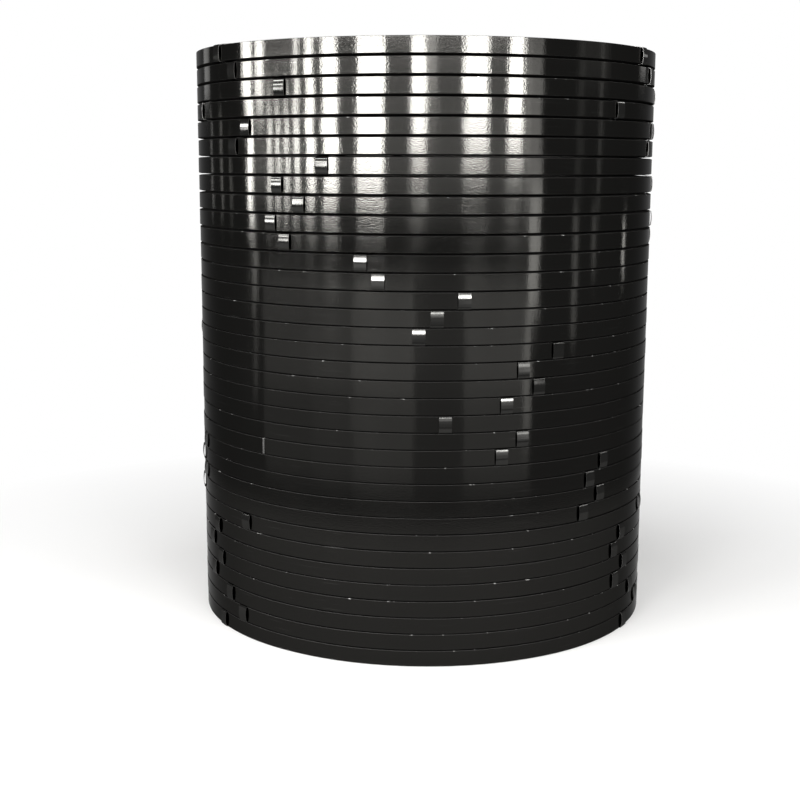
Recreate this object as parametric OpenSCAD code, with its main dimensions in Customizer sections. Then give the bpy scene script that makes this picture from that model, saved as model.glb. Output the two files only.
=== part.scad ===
// Slit steel coil: narrow coils of black strip, stacked eye to sky and held by steel ties.
// Each coil is one turned ring whose last wrap ends in a step of one strip thickness.
// A tie is a strap loop round the section of a coil. Its legs bow into the gaps and carry the coil above.

/* [Coil] */
// Diameter of the bore
bore_d = 406; // [305:1:610]
// Width of the strip
strip_w = 16; // [12:0.5:20]
// Thickness of the strip
strip_t = 0.6; // [0.4:0.05:1]
// Wraps of strip from the bore to the outside
wraps = 85; // [60:1:120]
// Break on the slit edges of the strip
edge_break = 0.3; // [0.1:0.05:0.5]

/* [Stack] */
// Number of coils
coil_count = 35; // [2:1:50]
// Gap under a coil near the top, where little weight lies on the ties
gap_open = 2.8; // [2:0.1:4]
// Gap under a coil far down, where the weight has pressed the ties flat
gap_pressed = 1.25; // [1.1:0.05:1.8]
// Number of coils whose weight presses a tie half way down
pressing_coils = 12; // [4:1:20]
// How sharply the gaps close round that number
pressing_rate = 8; // [2:1:12]

/* [Ties] */
// Ties round each coil
ties_per_coil = 3; // [2:1:4]
// Width of a tie strap
tie_w = 12.7; // [9:0.1:16]
// Thickness of a tie strap
tie_t = 0.5; // [0.3:0.05:0.6]
// Bulge of the outer leg
tie_bulge = 1.2; // [0.6:0.1:2]
// Clearance between a tie and the steel next to it
tie_clear = 0.1; // [0.05:0.05:0.2]
// Least sideways room between the ties of two neighbouring coils
tie_spacing = 1; // [0.5:0.5:4]

/* [Tails] */
// Turn from the first tie of a coil to the end of its last wrap
tail_lead = 170; // [150:1:190]
// Coil whose last wrap ends at the front, counted from the floor
front_tail_coil = 13; // [1:1:35]
// Turn from the front at which that wrap ends
front_tail_turn = -41; // [-60:1:60]

/* [Hidden] */
$fn = 256;
strip_color = "#1c1b19";
tie_color = "#3a3936";
bore_r = bore_d / 2;
coil_r = bore_r + wraps * strip_t;

// The front of the stack faces -Y, and turns run from there towards +X
front = -90;

// First tie of each coil from the top down, in degrees from the front
tie_turns = [
    -58, -51, -35, -70, -46, -51, -24,
    -36, -30, -38, -34, -15, -11, 8,
    2, -2, 31, 22, 26, 18, 4,
    22, 17, 47, 42, 46, 40, 72,
    57, 53, 59, 54, 64, 70, 60];
// Further coils repeat the list, turned on by this much
lap_turn = 30;

// A flat strap stands off the round wall of the bore by the bow of that wall over half its width
bore_bow = bore_r - sqrt(pow(bore_r, 2) - pow(tie_w / 2, 2));
// Corners of the inside of a tie, round the section of the coil
tie_in = bore_r - bore_bow - tie_clear;
tie_out = coil_r + tie_clear;
tie_low = -tie_clear;
tie_high = strip_w + tie_clear;
// Bottom coil stands on the flat lower legs of its ties
base_z = tie_clear + tie_t;
least_turn = (tie_w + tie_spacing) / bore_r * 180 / PI;

function bow_radius(chord, bow) = bow > 0 ? (pow(chord, 2) / 4 + pow(bow, 2)) / (2 * bow) : 0;
function listed_turn(k) = tie_turns[k % len(tie_turns)] + lap_turn * floor(k / len(tie_turns));
// Neighbouring ties keep clear of each other, however wide they are
function spaced_step(step) = sign(step) * max(abs(step), least_turn);
function turn_from_top(k) =
    k == 0 ? listed_turn(0) : turn_from_top(k - 1) + spaced_step(listed_turn(k) - listed_turn(k - 1));
function tie_turn(i) = turn_from_top(coil_count - i);
function tail_turn(i) = i == front_tail_coil ? front_tail_turn : tie_turn(i) + tail_lead;
// Gap over coil i, which the coils above it press down
function load_share(i) = 1 / (1 + pow((coil_count - i) / pressing_coils, pressing_rate));
function gap_over(i) = gap_pressed + (gap_open - gap_pressed) * load_share(i);
function coil_z(i) = i == 1 ? base_z : coil_z(i - 1) + strip_w + gap_over(i - 1);
// A leg bows until it meets the next coil
function leg_bow(gap) = gap - tie_t - 2 * tie_clear;
function coil_name(i) = str("coil_", i < 10 ? "0" : "", i);

// Half a turn of the wound ring, out to radius r
module half_turn(r) {
    core_r = bore_r / 2;
    rotate_extrude(angle = 180)
        polygon([
            [core_r, 0],
            [r - edge_break, 0],
            [r, edge_break],
            [r, strip_w - edge_break],
            [r - edge_break, strip_w],
            [core_r, strip_w]]);
}

// Straight bore with broken edges, and a little longer than the ring
module bore() {
    flare = 2 * edge_break;
    rotate_extrude()
        polygon([
            [0, -edge_break],
            [bore_r + flare, -edge_break],
            [bore_r, edge_break],
            [bore_r, strip_w - edge_break],
            [bore_r + flare, strip_w + edge_break],
            [0, strip_w + edge_break]]);
}

// Two half turns about centres half a strip apart make the spiral step of the last wrap
module wound_ring() {
    difference() {
        union() {
            rotate([0, 0, 180])
                half_turn(coil_r);
            translate([-strip_t / 2, 0, 0])
                half_turn(coil_r - strip_t / 2);
        }
        bore();
    }
}

module coil(i) {
    color(strip_color)
        translate([0, 0, coil_z(i)])
            rotate([0, 0, front + tail_turn(i)])
                wound_ring();
}

// Everything below one leg of a tie, whose ends lie on the X axis: a half plane, and a disc under a bowed leg
module under_leg(chord, bow, grow) {
    r = bow_radius(chord, bow);
    reach = 2 * coil_r;
    plane_y = bow > 0 ? -bow : grow;
    translate([-reach, plane_y - 2 * reach])
        square(2 * reach);
    if (bow > 0)
        translate([0, bow - r])
            circle(r + grow);
}

// Outline of a tie seen along the coil: the inside at grow 0, the outside at the strap thickness
module tie_outline(low_bow, high_bow, grow) {
    span = tie_out - tie_in;
    mid_x = (tie_out + tie_in) / 2;
    depth = tie_high - tie_low;
    mid_z = (tie_high + tie_low) / 2;
    intersection() {
        translate([mid_x, tie_high])
            under_leg(span, high_bow, grow);
        translate([mid_x, tie_low])
            rotate(180)
                under_leg(span, low_bow, grow);
        translate([tie_out, mid_z])
            rotate(-90)
                under_leg(depth, tie_bulge, grow);
        translate([tie_in, mid_z])
            rotate(90)
                under_leg(depth, 0, grow);
    }
}

module tie(low_bow, high_bow) {
    rotate([90, 0, 0])
        linear_extrude(tie_w, center = true)
            difference() {
                tie_outline(low_bow, high_bow, tie_t);
                tie_outline(low_bow, high_bow, 0);
            }
}

// Tie k of coil i, whose lower leg is flat on the bottom coil
module placed_tie(i, k) {
    low_bow = i == 1 ? 0 : leg_bow(gap_over(i - 1));
    translate([0, 0, coil_z(i)])
        rotate([0, 0, front + tie_turn(i) + (k - 1) * 360 / ties_per_coil])
            tie(low_bow, leg_bow(gap_over(i)));
}

module base_ties() {
    color(tie_color)
        for (k = [1 : ties_per_coil])
            placed_tie(1, k);
}

module tie_row(k) {
    color(tie_color)
        for (i = [2 : coil_count])
            placed_tie(i, k);
}

for (i = [1 : coil_count])
    coil(i);
base_ties();
for (k = [1 : ties_per_coil])
    tie_row(k);
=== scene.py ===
import math

import bmesh
import bpy
from mathutils import Matrix, Vector


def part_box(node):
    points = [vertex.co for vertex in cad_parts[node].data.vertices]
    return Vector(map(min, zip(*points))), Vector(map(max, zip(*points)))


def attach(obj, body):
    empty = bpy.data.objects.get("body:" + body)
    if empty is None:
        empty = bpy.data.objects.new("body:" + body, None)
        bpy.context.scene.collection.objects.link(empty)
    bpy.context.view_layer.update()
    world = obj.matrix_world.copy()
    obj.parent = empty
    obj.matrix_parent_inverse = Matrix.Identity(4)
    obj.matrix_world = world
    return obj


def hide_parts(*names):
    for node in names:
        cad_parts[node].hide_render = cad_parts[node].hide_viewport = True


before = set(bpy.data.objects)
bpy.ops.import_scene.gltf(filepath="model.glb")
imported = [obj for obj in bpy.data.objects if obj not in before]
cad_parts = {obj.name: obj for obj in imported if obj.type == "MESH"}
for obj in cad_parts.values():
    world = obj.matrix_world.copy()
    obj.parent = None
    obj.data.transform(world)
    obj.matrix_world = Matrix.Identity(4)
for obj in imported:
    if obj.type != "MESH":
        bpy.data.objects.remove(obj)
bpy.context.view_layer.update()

MM = 0.001
COILS = 35

# Sizes of the strip and the ties, as in the part's source
STRIP_THICK = 0.6 * MM
COIL_RADIUS = 254 * MM
BORE_RADIUS = 203 * MM
EDGE_BREAK = 0.3 * MM
GAP_OPEN = 2.8 * MM
TIE_WIDTH = 12.7 * MM
TIE_THICK = 0.5 * MM
TIE_CLEAR = 0.1 * MM
TIES_PER_COIL = 3
TAIL_LEAD = 170
FRONT_TAIL_COIL = 13
FRONT_TAIL_TURN = -41

# First tie of each coil from the top down, in degrees from the front towards +X
TIE_TURNS = [
    -58, -51, -35, -70, -46, -51, -24,
    -36, -30, -38, -34, -15, -11, 8,
    2, -2, 31, 22, 26, 18, 4,
    22, 17, 47, 42, 46, 40, 72,
    57, 53, 59, 54, 64, 70, 60]

WALL = COIL_RADIUS - BORE_RADIUS
WRAPS = round(WALL / STRIP_THICK)
TIE_STEP = 360 / TIES_PER_COIL

# Fine relief of the coils
ROUND_STEPS = 240
END_LIP = 2.6 * MM
EDGE_SOFT = 0.7 * EDGE_BREAK
EDGE_GUARD = 0.6 * MM
GROOVE_DEPTH = 0.22 * MM
GROOVE_WIDTH = 0.25 * MM
UNEVEN_ROUND = 0.1 * MM
UNEVEN_WRAPS = 0.05 * MM
WRAPS_SUNK = 0.06 * MM
COIL_SHIFT = 0.15 * MM
COIL_LEAN = 0.05

# The middle wraps stand proud by a share of the gap, from a turn beside each tie on
WIDE_GAP = 2 * MM
PROUD_IN_NARROW_GAP = 0.3
PROUD_IN_WIDE_GAP = 0.43
TURN_BESIDE_TIE = 2.2
PROUD_RAMP = 1.5

# Fine relief of the ties
TIE_BULGE = 1.1 * MM
TIE_BEND = 1.3 * MM
LARGEST_CUT_FACE = 4.5 * MM * MM

# Creases sharper than this stay sharp, in degrees
SHARP_ANGLE = 20

# Floor and surroundings: the shadow fades out between two distances from the axis
FLOOR_RADIUS = 6.0
SHADOW_FULL = 0.34
SHADOW_GONE = 0.85
WORLD_LIGHT = 0.1
# Share of the white that a mirrored ray sees, and how much of it covers the lit floor
MIRRORED_FLOOR = 0.24
MIRRORED_WORLD = 0.13
MIRRORED_COVER = 0.8

# Distance of the soft boxes and cards from the axis
FAR_REACH = 3.0
FAR_CARD_REACH = 3.3
NEAR_REACH = 1.3
FRONT_REACH = 1.0

CAMERA_SPOT = Vector((-0.0269, -1.5534, 0.5))
CAMERA_SENSOR = 36
CAMERA_LENS = 60.66
CAMERA_DOWN = 9.83
CAMERA_ROLL = 0.2


def around(turn):
    """Unit vector at a turn from the front, which faces -Y."""
    angle = math.radians(turn)
    return Vector((math.sin(angle), -math.cos(angle), 0))


def tie_turn(coil):
    return TIE_TURNS[COILS - coil]


def tail_turn(coil):
    return FRONT_TAIL_TURN if coil == FRONT_TAIL_COIL else tie_turn(coil) + TAIL_LEAD


def sway(coil, pitch):
    """A small repeatable wander from -1 to 1, different for each coil."""
    return math.sin(coil * pitch + 1.3 * math.sin(coil * 1.7))


# Lower and upper face of each coil
LEVELS = {}
for coil_number in range(1, COILS + 1):
    low_corner, high_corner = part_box(f"coil_{coil_number:02d}")
    LEVELS[coil_number] = (low_corner[2], high_corner[2])


# Materials


def node_group(name, inputs, outputs):
    group = bpy.data.node_groups.new(name, "ShaderNodeTree")
    for label, kind, value in inputs:
        socket = group.interface.new_socket(label, in_out="INPUT", socket_type=kind)
        socket.default_value = value
    for label, kind in outputs:
        group.interface.new_socket(label, in_out="OUTPUT", socket_type=kind)
    return group, group.nodes.new("NodeGroupInput"), group.nodes.new("NodeGroupOutput")


def math_node(tree, operation, first, second):
    node = tree.nodes.new("ShaderNodeMath")
    node.operation = operation
    for socket, value in zip(node.inputs, (first, second)):
        if isinstance(value, (int, float)):
            socket.default_value = value
        else:
            tree.links.new(value, socket)
    return node.outputs[0]


def spread(tree, value, low, high, to_low, to_high):
    """Maps low to to_low and high to to_high, and holds still beyond them."""
    node = tree.nodes.new("ShaderNodeMapRange")
    node.inputs["From Min"].default_value = low
    node.inputs["From Max"].default_value = high
    for label, amount in (("To Min", to_low), ("To Max", to_high)):
        if isinstance(amount, (int, float)):
            node.inputs[label].default_value = amount
        else:
            tree.links.new(amount, node.inputs[label])
    tree.links.new(value, node.inputs["Value"])
    return node.outputs["Result"]


def noise(tree, where, detail, stretch):
    mapping = tree.nodes.new("ShaderNodeMapping")
    mapping.inputs["Scale"].default_value = stretch
    texture = tree.nodes.new("ShaderNodeTexNoise")
    texture.inputs["Scale"].default_value = 1.0
    texture.inputs["Detail"].default_value = detail
    tree.links.new(where, mapping.inputs["Vector"])
    tree.links.new(mapping.outputs["Vector"], texture.inputs["Vector"])
    return texture.outputs["Fac"]


def make_rolled_finish():
    """Fine lines along the strip, a cloudy oil film, bare steel worn on edges, and a painted highlight
    of bare colour on the strip's tail end.
    """
    group, given, result = node_group(
        "rolled_finish",
        [("Film", "NodeSocketFloat", 0.05),
         ("Base Roughness", "NodeSocketFloat", 0.12),
         ("Edge", "NodeSocketFloat", 0.0),
         ("End", "NodeSocketFloat", 0.0),
         ("Wear", "NodeSocketFloat", 0.5),
         ("Steel", "NodeSocketColor", (0.02, 0.02, 0.02, 1)),
         ("Bare", "NodeSocketColor", (0.5, 0.5, 0.5, 1))],
        [("Color", "NodeSocketColor"), ("Roughness", "NodeSocketFloat"), ("Height", "NodeSocketFloat")])
    where = group.nodes.new("ShaderNodeTexCoord").outputs["Object"]
    lines = noise(group, where, 3.0, (4, 4, 900))
    cloud = noise(group, where, 4.0, (14, 14, 26))
    speck = noise(group, where, 2.0, (150, 150, 190))
    grain = noise(group, where, 1.0, (550, 550, 900))
    streak = noise(group, where, 2.0, (260, 260, 12))
    scratch = noise(group, where, 1.0, (16, 16, 1500))

    film = spread(group, cloud, 0.35, 0.75, 0.0, given.outputs["Film"])
    rough = math_node(group, "ADD", given.outputs["Base Roughness"], film)
    rough = math_node(group, "ADD", rough, spread(group, lines, 0.3, 0.8, 0.0, 0.03))

    chipped = spread(group, speck, 0.67, 0.74, 0.015, 1.0)
    chipped = math_node(group, "MULTIPLY", chipped, given.outputs["Edge"])
    chipped = math_node(group, "MULTIPLY", chipped, given.outputs["Wear"])
    scored = spread(group, scratch, 0.74, 0.8, 0.0, 0.08)
    wear_and_painted_highlight = math_node(group, "MAXIMUM", chipped, scored)
    # The strip's tail end takes the bare colour too, as a painted highlight
    wear_and_painted_highlight = math_node(group, "MAXIMUM", wear_and_painted_highlight, given.outputs["End"])
    mix = group.nodes.new("ShaderNodeMix")
    mix.data_type = "RGBA"
    group.links.new(wear_and_painted_highlight, mix.inputs["Factor"])
    group.links.new(given.outputs["Steel"], mix.inputs["A"])
    group.links.new(given.outputs["Bare"], mix.inputs["B"])
    group.links.new(mix.outputs["Result"], result.inputs["Color"])
    rough = math_node(group, "ADD", rough, math_node(group, "MULTIPLY", wear_and_painted_highlight, 0.2))
    group.links.new(rough, result.inputs["Roughness"])

    height = math_node(group, "MULTIPLY", lines, 0.6)
    height = math_node(group, "ADD", height, math_node(group, "MULTIPLY", grain, 2.2))
    height = math_node(group, "ADD", height, math_node(group, "MULTIPLY", streak, 1.6))
    group.links.new(height, result.inputs["Height"])
    return group


ROLLED_FINISH = make_rolled_finish()


def steel_material(name, steel, bare, roughness, film, wear, line_depth, stretch, rim, turns=0.0):
    """Dark steel. rim is its brightness at a low angle, and turns how much lighter some wraps show."""
    material = bpy.data.materials.new(name)
    material.use_nodes = True
    tree = material.node_tree
    shader = tree.nodes["Principled BSDF"]
    finish = tree.nodes.new("ShaderNodeGroup")
    finish.node_tree = ROLLED_FINISH
    finish.inputs["Film"].default_value = film
    finish.inputs["Base Roughness"].default_value = roughness
    finish.inputs["Wear"].default_value = wear
    finish.inputs["Steel"].default_value = (*steel, 1)
    finish.inputs["Bare"].default_value = (*bare, 1)
    edge = tree.nodes.new("ShaderNodeAttribute")
    edge.attribute_name = "edge_wear"
    tree.links.new(edge.outputs["Fac"], finish.inputs["Edge"])
    # Without turns, the lighter mark is the painted highlight on the strip's tail end
    marked = tree.nodes.new("ShaderNodeAttribute")
    marked.attribute_name = "winding" if turns else "painted_tail_highlight"
    lighter = marked.outputs["Fac"]
    if turns:
        wraps = tree.nodes.new("ShaderNodeTexNoise")
        wraps.noise_dimensions = "1D"
        wraps.inputs["Scale"].default_value = 0.45
        wraps.inputs["Detail"].default_value = 3.0
        tree.links.new(lighter, wraps.inputs["W"])
        lighter = spread(tree, wraps.outputs["Fac"], 0.38, 0.66, 0.0, turns)
    tree.links.new(lighter, finish.inputs["End"])
    tree.links.new(finish.outputs["Color"], shader.inputs["Base Color"])
    tree.links.new(finish.outputs["Roughness"], shader.inputs["Roughness"])
    bump = tree.nodes.new("ShaderNodeBump")
    bump.inputs["Strength"].default_value = line_depth
    bump.inputs["Distance"].default_value = 0.02 * MM
    tree.links.new(finish.outputs["Height"], bump.inputs["Height"])
    tree.links.new(bump.outputs["Normal"], shader.inputs["Normal"])
    shader.inputs["Metallic"].default_value = 1.0
    shader.inputs["Specular Tint"].default_value = (rim, rim, rim, 1)
    shader.inputs["Anisotropic"].default_value = stretch
    shader.inputs["Anisotropic Rotation"].default_value = 0.25
    tangent = tree.nodes.new("ShaderNodeTangent")
    tangent.direction_type = "RADIAL"
    tangent.axis = "Z"
    tree.links.new(tangent.outputs["Tangent"], shader.inputs["Tangent"])
    return material


BLACK_STRIP = steel_material(
    "black_strip", steel=(0.04, 0.039, 0.0365), bare=(0.75, 0.74, 0.72), roughness=0.06, film=0.04,
    wear=0.6, line_depth=0.9, stretch=0.7, rim=0.52)
# End faces of the coils in the gaps: rough slit edges with painted shade, darker than the strip and dim
# at a low angle, so the gaps between coils read dark
SLIT_EDGES_IN_PAINTED_SHADE = steel_material(
    "slit_edges_in_painted_shade", steel=(0.029, 0.028, 0.027), bare=(0.75, 0.74, 0.72), roughness=0.5, film=0.1,
    wear=0.6, line_depth=0.1, stretch=0.0, rim=0.12)
WOUND_ENDS = steel_material(
    "wound_ends", steel=(0.09, 0.088, 0.085), bare=(0.7, 0.69, 0.67), roughness=0.32, film=0.08,
    wear=0.3, line_depth=0.2, stretch=0.0, rim=0.45, turns=0.5)
BORE_WALL = steel_material(
    "bore_wall", steel=(0.16, 0.157, 0.15), bare=(0.5, 0.49, 0.48), roughness=0.5, film=0.15,
    wear=0.3, line_depth=0.2, stretch=0.0, rim=0.4)
TIE_STRAP = steel_material(
    "tie_strap", steel=(0.067, 0.066, 0.063), bare=(0.6, 0.59, 0.57), roughness=0.08, film=0.04,
    wear=0.3, line_depth=0.1, stretch=0.0, rim=0.55)
TIE_EDGES = steel_material(
    "tie_edges", steel=(0.14, 0.137, 0.133), bare=(0.6, 0.59, 0.57), roughness=0.35, film=0.05,
    wear=0.3, line_depth=0.1, stretch=0.0, rim=0.5)


# Coils


def finish_piece(bm, name, materials, material_of, node):
    """Object of a piece: material_of says which of its materials a face takes."""
    bmesh.ops.recalc_face_normals(bm, faces=bm.faces)
    for face in bm.faces:
        face.material_index = material_of(face)
    mesh = bpy.data.meshes.new(name)
    bm.to_mesh(mesh)
    bm.free()
    for material in materials:
        mesh.materials.append(material)
    mesh.shade_smooth()
    mesh.set_sharp_from_angle(angle=math.radians(SHARP_ANGLE))
    piece = bpy.data.objects.new(name, mesh)
    bpy.context.scene.collection.objects.link(piece)
    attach(piece, "root")
    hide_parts(node)
    return piece


def end_face(level, groove_depth, grooved):
    """Points of an end face from the outside in. A grooved one shows every wrap."""
    if not grooved:
        return [(BORE_RADIUS + share * WALL, level) for share in (0.95, 0.8, 0.65, 0.5, 0.35, 0.2, 0.05)]
    points = []
    for wrap in range(1, WRAPS):
        seam = COIL_RADIUS - wrap * STRIP_THICK
        points += [(seam, level - groove_depth), (seam - GROOVE_WIDTH, level)]
    return points


def strip_section(low, high, grooved_low, grooved_high):
    """Section of a wound ring with rounded slit edges, as radius and height."""
    rim = COIL_RADIUS - EDGE_BREAK
    lip = BORE_RADIUS + EDGE_BREAK
    outside = [
        (rim, low), (rim + EDGE_SOFT, low + EDGE_BREAK - EDGE_SOFT),
        (COIL_RADIUS, low + EDGE_BREAK), (COIL_RADIUS, low + EDGE_GUARD),
        (COIL_RADIUS, high - EDGE_GUARD), (COIL_RADIUS, high - EDGE_BREAK),
        (rim + EDGE_SOFT, high - EDGE_BREAK + EDGE_SOFT), (rim, high)]
    inside = [
        (lip, high), (BORE_RADIUS, high - EDGE_BREAK), (BORE_RADIUS, high - EDGE_GUARD),
        (BORE_RADIUS, low + EDGE_GUARD), (BORE_RADIUS, low + EDGE_BREAK), (lip, low)]
    top = end_face(high, GROOVE_DEPTH, grooved_high)
    bottom = list(reversed(end_face(low, -GROOVE_DEPTH, grooved_low)))
    return outside + top + inside + bottom


def spun_section(bm, section):
    """A closed section spun once round from the tail. Returns the share of the turn at each column."""
    verts = [bm.verts.new((0, -radius, height)) for radius, height in section]
    column = verts + [bm.edges.new((a, b)) for a, b in zip(verts, verts[1:] + verts[:1])]
    lip = END_LIP / COIL_RADIUS
    crease = 0.1 * lip
    shares = [0.0]
    for angle, steps in ((math.tau - lip - crease, ROUND_STEPS), (crease, 1), (lip, 1)):
        spun = bmesh.ops.spin(bm, geom=column, cent=(0, 0, 0), axis=(0, 0, 1), dvec=(0, 0, 0),
                              angle=angle, steps=steps, use_merge=False, use_duplicate=False)
        column = spun["geom_last"]
        shares += [shares[-1] + (step + 1) * angle / steps / math.tau for step in range(steps)]
    return shares


def uneven_round(coil, share):
    """How far the wraps lie inside the true round, because a wound coil is never quite even."""
    first = math.sin(math.tau * 7 * share + 2.4 * coil)
    second = math.sin(math.tau * 13 * share + 4.1 * coil)
    return UNEVEN_ROUND * (2 + first + second)


def sunk_wrap(winding):
    """How far a wrap lies below its end face, because no two wraps are wound quite level."""
    return WRAPS_SUNK + UNEVEN_WRAPS * (math.sin(2.1 * winding) + math.sin(0.77 * winding + 1.0))


def proud_wraps(coil, neighbour, turn, radius):
    """How far the middle wraps stand out of an end face, in the room beside the ties."""
    if not 1 <= neighbour <= COILS:
        return 0.0
    gap = max(LEVELS[coil][0], LEVELS[neighbour][0]) - min(LEVELS[coil][1], LEVELS[neighbour][1])
    across = 2 * (radius - BORE_RADIUS) / WALL - 1
    room = 1.0
    for tied in (coil, neighbour):
        off = abs((turn - tie_turn(tied) + TIE_STEP / 2) % TIE_STEP - TIE_STEP / 2)
        room *= min(1.0, max(0.0, (off - TURN_BESIDE_TIE) / PROUD_RAMP))
    share = PROUD_IN_NARROW_GAP if gap < WIDE_GAP else PROUD_IN_WIDE_GAP
    return share * gap * room * max(0.0, 1 - across ** 8)


def wind(bm, coil, shares):
    """Makes the spun ring a spiral, a strip's thickness deeper after each turn, and marks its worn edges
    and the painted highlight at its tail end.
    """
    low, high = LEVELS[coil]
    edge_wear = bm.verts.layers.float.new("edge_wear")
    winding = bm.verts.layers.float.new("winding")
    painted_tail_highlight = bm.verts.layers.float.new("painted_tail_highlight")
    per_column = len(bm.verts) // len(shares)
    for order, vert in enumerate(bm.verts):
        column = order // per_column
        turned = shares[column]
        radius = math.hypot(vert.co.x, vert.co.y)
        depth = (COIL_RADIUS - radius) / STRIP_THICK
        vert[winding] = depth - turned
        if high - vert.co.z < 0.5 * MM and depth < 1:
            vert[edge_wear] = 1.0
        if radius > BORE_RADIUS + 0.5 * STRIP_THICK:
            if depth > 0.6:
                upwards = 1 if vert.co.z > (low + high) / 2 else -1
                proud = proud_wraps(coil, coil + upwards, tail_turn(coil) + 360 * turned, radius)
                vert.co.z += upwards * (proud - sunk_wrap(vert[winding]))
            # The outer face of the last columns at the tail end gets a painted highlight: a lighter bar
            # standing for the bent end mirroring a lamp
            elif column >= len(shares) - 2:
                vert[painted_tail_highlight] = 0.4
            inwards = STRIP_THICK * (1 - turned) + uneven_round(coil, turned)
            vert.co.x *= 1 - inwards / radius
            vert.co.y *= 1 - inwards / radius


def coil_place(coil):
    """A coil's tail goes to its turn, and the coil lies a touch off the axis and off the level."""
    centre = Vector((0, 0, sum(LEVELS[coil]) / 2))
    shift = Matrix.Translation(COIL_SHIFT * Vector((sway(coil, 1.9), sway(coil, 2.9), 0)))
    lean = Matrix.Rotation(math.radians(COIL_LEAN) * sway(coil, 2.3), 4, around(70 * coil))
    tail = Matrix.Rotation(math.radians(tail_turn(coil)), 4, "Z")
    return shift @ Matrix.Translation(centre) @ lean @ Matrix.Translation(-centre) @ tail


def wound_coil(coil):
    name = f"coil_{coil:02d}"
    low, high = LEVELS[coil]
    bm = bmesh.new()
    shares = spun_section(bm, strip_section(low, high, coil == 1, coil == COILS))
    wind(bm, coil, shares)
    bmesh.ops.remove_doubles(bm, verts=bm.verts, dist=0.02 * MM)
    tail_rim = [edge for edge in bm.edges if edge.is_boundary]
    bmesh.ops.holes_fill(bm, edges=tail_rim, sides=0)
    bmesh.ops.transform(bm, matrix=coil_place(coil), verts=bm.verts)
    open_side = {1: -1, COILS: 1}.get(coil, 0)

    def material_of(face):
        # Up- and down-facing faces in the gaps take the slit edges with painted shade; the open ends of
        # the stack take the wound ends
        if abs(face.normal.z) > 0.3:
            return 2 if face.normal.z * open_side > 0.5 else 1
        return 3 if face.calc_center_median().xy.length < BORE_RADIUS + 1 * MM else 0

    materials = (BLACK_STRIP, SLIT_EDGES_IN_PAINTED_SHADE, WOUND_ENDS, BORE_WALL)
    return finish_piece(bm, "wound_" + name, materials, material_of, name)


# Ties


def bowed(start, end, bow, count):
    """Points from start towards end on a shallow arc that bows to the left by bow."""
    start, end = Vector(start), Vector(end)
    side = Vector((-(end - start).y, (end - start).x)).normalized()
    points = []
    for step in range(count):
        share = step / count
        points.append(start.lerp(end, share) + side * bow * 4 * share * (1 - share))
    return points


def add_tie(bm, coil, number):
    """A strap loop round the section of a coil, with bent corners and bowed legs."""
    low, high = LEVELS[coil]
    bore_bow = BORE_RADIUS - math.sqrt(BORE_RADIUS ** 2 - (TIE_WIDTH / 2) ** 2)
    inner = BORE_RADIUS - bore_bow - TIE_CLEAR - TIE_THICK
    outer = COIL_RADIUS + TIE_CLEAR + TIE_THICK
    bottom = low - TIE_CLEAR - TIE_THICK
    top = high + TIE_CLEAR + TIE_THICK
    over = LEVELS[coil + 1][0] - high if coil < COILS else GAP_OPEN
    high_bow = over - TIE_THICK - 2 * TIE_CLEAR
    low_bow = low - LEVELS[coil - 1][1] - TIE_THICK - 2 * TIE_CLEAR if coil > 1 else 0
    legs = [
        ((outer, bottom), (outer, top), -TIE_BULGE, 8),
        ((outer, top), (inner, top), -high_bow, 8),
        ((inner, top), (inner, bottom), 0, 2),
        ((inner, bottom), (outer, bottom), -low_bow, 8)]
    points, corners = [], []
    for leg in legs:
        corners.append(len(points))
        points += bowed(*leg)

    first = [bm.verts.new((point.x, -TIE_WIDTH / 2, point.y)) for point in points]
    loop = [bm.edges.new((a, b)) for a, b in zip(first, first[1:] + first[:1])]
    swept = bmesh.ops.extrude_edge_only(bm, edges=loop)["geom"]
    second = [part for part in swept if isinstance(part, bmesh.types.BMVert)]
    bmesh.ops.translate(bm, verts=second, vec=(0, TIE_WIDTH, 0))
    bends = [edge for corner in corners for edge in first[corner].link_edges
             if abs(edge.verts[0].co.y - edge.verts[1].co.y) > TIE_WIDTH / 2]
    bent = bmesh.ops.bevel(
        bm, geom=bends, offset=TIE_BEND, segments=4, profile=0.5, affect="EDGES", material=-1)
    verts = {vert for face in bent["faces"] for vert in face.verts}
    verts |= {vert for vert in first + second if vert.is_valid}
    turn = math.radians(tie_turn(coil) + number * TIE_STEP - 90)
    bmesh.ops.rotate(bm, verts=list(verts), cent=(0, 0, 0), matrix=Matrix.Rotation(turn, 3, "Z"))


def strap_material_of(face):
    """The cut sides of a strap are the only faces smaller than a bend."""
    return 1 if face.calc_area() < LARGEST_CUT_FACE else 0


def tie_piece(name, members):
    bm = bmesh.new()
    for coil, number in members:
        add_tie(bm, coil, number)
    bmesh.ops.recalc_face_normals(bm, faces=bm.faces)
    bmesh.ops.solidify(bm, geom=bm.faces, thickness=TIE_THICK)
    return finish_piece(bm, "strap_" + name, (TIE_STRAP, TIE_EDGES), strap_material_of, name)


for coil_number in range(1, COILS + 1):
    wound_coil(coil_number)
tie_piece("base_ties", [(1, number) for number in range(TIES_PER_COIL)])
for row in range(TIES_PER_COIL):
    tie_piece(f"tie_row_{row + 1}", [(coil_number, row) for coil_number in range(2, COILS + 1)])


# Stage, light and camera


def camera_view_share(tree, mirror_share):
    """1 for rays from the camera or through clear glass, mirror_share for a mirrored ray, else 0."""
    path = tree.nodes.new("ShaderNodeLightPath")
    mirrored = math_node(tree, "MULTIPLY", path.outputs["Is Glossy Ray"], mirror_share)
    share = math_node(tree, "MAXIMUM", path.outputs["Is Camera Ray"], mirrored)
    return math_node(tree, "MAXIMUM", share, path.outputs["Is Transmission Ray"])


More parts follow.
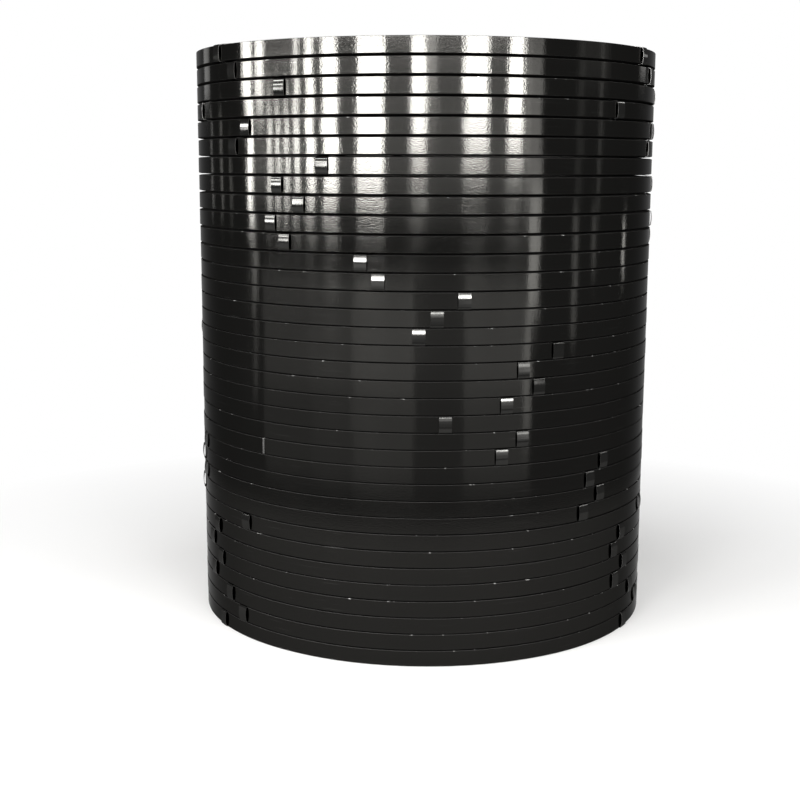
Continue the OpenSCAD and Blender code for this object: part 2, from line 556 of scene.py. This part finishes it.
def pale_floor():
    """A pale floor that takes the shadow near the coil and is plain white further out."""
    bm = bmesh.new()
    bmesh.ops.create_circle(bm, cap_ends=True, segments=96, radius=FLOOR_RADIUS)
    mesh = bpy.data.meshes.new("floor")
    bm.to_mesh(mesh)
    bm.free()
    floor = bpy.data.objects.new("floor", mesh)
    bpy.context.scene.collection.objects.link(floor)
    material = bpy.data.materials.new("pale_floor")
    material.use_nodes = True
    tree = material.node_tree
    shader = tree.nodes["Principled BSDF"]
    shader.inputs["Base Color"].default_value = (0.9, 0.895, 0.885, 1)
    shader.inputs["Roughness"].default_value = 0.7
    glow = tree.nodes.new("ShaderNodeEmission")
    glow.inputs["Color"].default_value = (1, 1, 1, 1)
    tree.links.new(camera_view_share(tree, MIRRORED_FLOOR), glow.inputs["Strength"])
    where = tree.nodes.new("ShaderNodeTexCoord").outputs["Object"]
    away = tree.nodes.new("ShaderNodeVectorMath")
    away.operation = "LENGTH"
    tree.links.new(where, away.inputs[0])
    fade = spread(tree, away.outputs["Value"], SHADOW_FULL, SHADOW_GONE, 0.0, 1.0)
    path = tree.nodes.new("ShaderNodeLightPath")
    cover = math_node(tree, "MULTIPLY", path.outputs["Is Glossy Ray"], MIRRORED_COVER)
    mix = tree.nodes.new("ShaderNodeMixShader")
    tree.links.new(math_node(tree, "MAXIMUM", fade, cover), mix.inputs["Fac"])
    tree.links.new(shader.outputs["BSDF"], mix.inputs[1])
    tree.links.new(glow.outputs["Emission"], mix.inputs[2])
    tree.links.new(mix.outputs["Shader"], tree.nodes["Material Output"].inputs["Surface"])
    mesh.materials.append(material)


def pale_world():
    world = bpy.data.worlds.new("studio")
    world.use_nodes = True
    tree = world.node_tree
    ground = tree.nodes["Background"]
    ground.inputs["Color"].default_value = (1, 1, 1, 1)
    strength = spread(tree, camera_view_share(tree, MIRRORED_WORLD), 0, 1, WORLD_LIGHT, 1.0)
    tree.links.new(strength, ground.inputs["Strength"])
    bpy.context.scene.world = world


def lamp(name, spot, aim, width, height, radiance):
    """A rectangular soft box: radiance is what it shows as in a perfect mirror."""
    data = bpy.data.lights.new(name, "AREA")
    data.shape = "RECTANGLE"
    data.size = width
    data.size_y = height
    data.energy = radiance * math.pi * width * height
    box = bpy.data.objects.new(name, data)
    box.location = spot
    box.rotation_euler = (Vector(aim) - Vector(spot)).to_track_quat("-Z", "Y").to_euler()
    bpy.context.scene.collection.objects.link(box)


def mirrored_spot(turn, reach):
    """Where the camera sees, in the coil's face at a turn, a thing that stands reach from the axis."""
    normal = around(turn)
    spot = COIL_RADIUS * normal
    sight = Vector((CAMERA_SPOT.x, CAMERA_SPOT.y, 0)) - spot
    sight.normalize()
    ray = 2 * normal.dot(sight) * normal - sight
    along = spot.dot(ray)
    return spot + ray * (-along + math.sqrt(along ** 2 + reach ** 2 - spot.length_squared))


def mirrored_lamp(name, turn, width, radiance, low, high, reach):
    """An upright soft box, by the turn and the width in degrees at which the coils mirror it."""
    left, right = mirrored_spot(turn - width / 2, reach), mirrored_spot(turn + width / 2, reach)
    level = Vector((0, 0, (low + high) / 2))
    lamp(name, (left + right) / 2 + level, level, (left - right).length, high - low, radiance)


def front_lights():
    """Soft boxes and cards that the coils mirror, as turn, width, radiance, lower and upper end."""
    upper_lamps = [
        (-65.5, 4, 2.2, 0.70, 0.92), (-62.5, 0.5, 4, 0.36, 0.66), (-57, 0.5, 4.5, 0.36, 0.66),
        (-52.5, 0.6, 2.5, 0.36, 0.55), (-45.3, 3.0, 40, 0.69, 0.92), (-44.6, 1.7, 40, 0.36, 0.69),
        (-41.2, 2.4, 35, 0.69, 0.92), (-38.2, 1.2, 24, 0.40, 0.68), (-35.7, 1.1, 26, 0.40, 0.68),
        (-33.3, 1.1, 26, 0.40, 0.68), (-30.6, 1.3, 26, 0.40, 0.92), (-27, 1.9, 39, 0.42, 0.92),
        (-22, 3.5, 39, 0.42, 0.92), (-12.7, 6, 38, 0.44, 0.92), (-2.3, 3.1, 38, 0.55, 0.92),
        (0.5, 2.4, 6.2, 0.72, 0.92), (10.1, 5.2, 38, 0.565, 0.92), (18.9, 3.5, 38, 0.565, 0.92),
        (23.4, 4, 2.6, 0.40, 0.92), (36, 2, 0.25, 0.40, 0.92), (40.5, 9, 0.28, 0.76, 0.92),
        (42.7, 0.8, 0.8, 0.36, 0.92), (62, 4, 2.2, 0.78, 0.92)]
    for number, soft_box in enumerate(upper_lamps):
        mirrored_lamp(f"upper_lamp_{number + 1}", *soft_box, FAR_REACH)
    # Broad dim cards behind them
    for number, turn in enumerate((-38, -27, -16, -5, 6, 17)):
        mirrored_lamp(f"upper_card_{number + 1}", turn, 11, 1.25, 0.40, 0.92, FAR_CARD_REACH)
    # Narrow cards closer in for the middle coils
    middle_cards = [
        (-43.5, 1.6, 1.9, 0.26, 0.42), (-43.8, 1.2, 0.6, 0.08, 0.26), (23.0, 1.8, 1.3, 0.03, 0.25),
        (24.2, 2.6, 3.9, 0.25, 0.46), (35.3, 1.3, 1.25, 0.20, 0.42), (41.3, 1.4, 0.95, 0.31, 0.42),
        (53.6, 0.6, 13, 0.30, 0.40)]
    for number, card in enumerate(middle_cards):
        mirrored_lamp(f"middle_card_{number + 1}", *card, NEAR_REACH)
    # Broad cards in front for the middle coils, and dimmer ones below them
    front_cards = [(-34, 14, 0.42), (-22, 10, 0.52), (-10, 14, 0.85), (2.5, 11, 0.22), (16, 16, 0.72)]
    for number, (turn, width, radiance) in enumerate(front_cards):
        mirrored_lamp(f"front_card_{number + 1}", turn, width, radiance, 0.16, 0.34, FRONT_REACH)
        mirrored_lamp(f"low_card_{number + 1}", turn, width, 0.5 * radiance, 0.01, 0.16, FRONT_REACH)


def overhead_lights():
    """Two level bands of soft boxes for the bulge of the ties, and a ceiling for the open top."""
    for band, (level, height, boxes) in enumerate(((1.04, 0.13, 5), (1.6, 0.18, 8))):
        for number in range(boxes):
            spot = FAR_REACH * around(-71.5 + 25.4 * number) + Vector((0, 0, level))
            lamp(f"band_{band + 1}_lamp_{number + 1}", spot, (0, 0, 0.4), 1.33, height, 19)
    lamp("ceiling_lamp", (0.0, -0.3, 3.0), (0, 0, 0), 2.0, 2.0, 0.8)
    lamp("ceiling_lamp_back", (0.3, 2.4, 2.4), (0, 0, 0.4), 2.4, 0.3, 2.5)


def place_camera():
    data = bpy.data.cameras.new("camera")
    data.sensor_width = CAMERA_SENSOR
    data.lens = CAMERA_LENS
    camera = bpy.data.objects.new("camera", data)
    camera.location = CAMERA_SPOT
    down = Matrix.Rotation(math.radians(90 - CAMERA_DOWN), 3, "X")
    roll = Matrix.Rotation(math.radians(CAMERA_ROLL), 3, "Z")
    camera.rotation_euler = (down @ roll).to_euler()
    bpy.context.scene.collection.objects.link(camera)
    bpy.context.scene.camera = camera


front_lights()
overhead_lights()
pale_floor()
pale_world()
place_camera()
bpy.context.scene.view_settings.view_transform = "Standard"
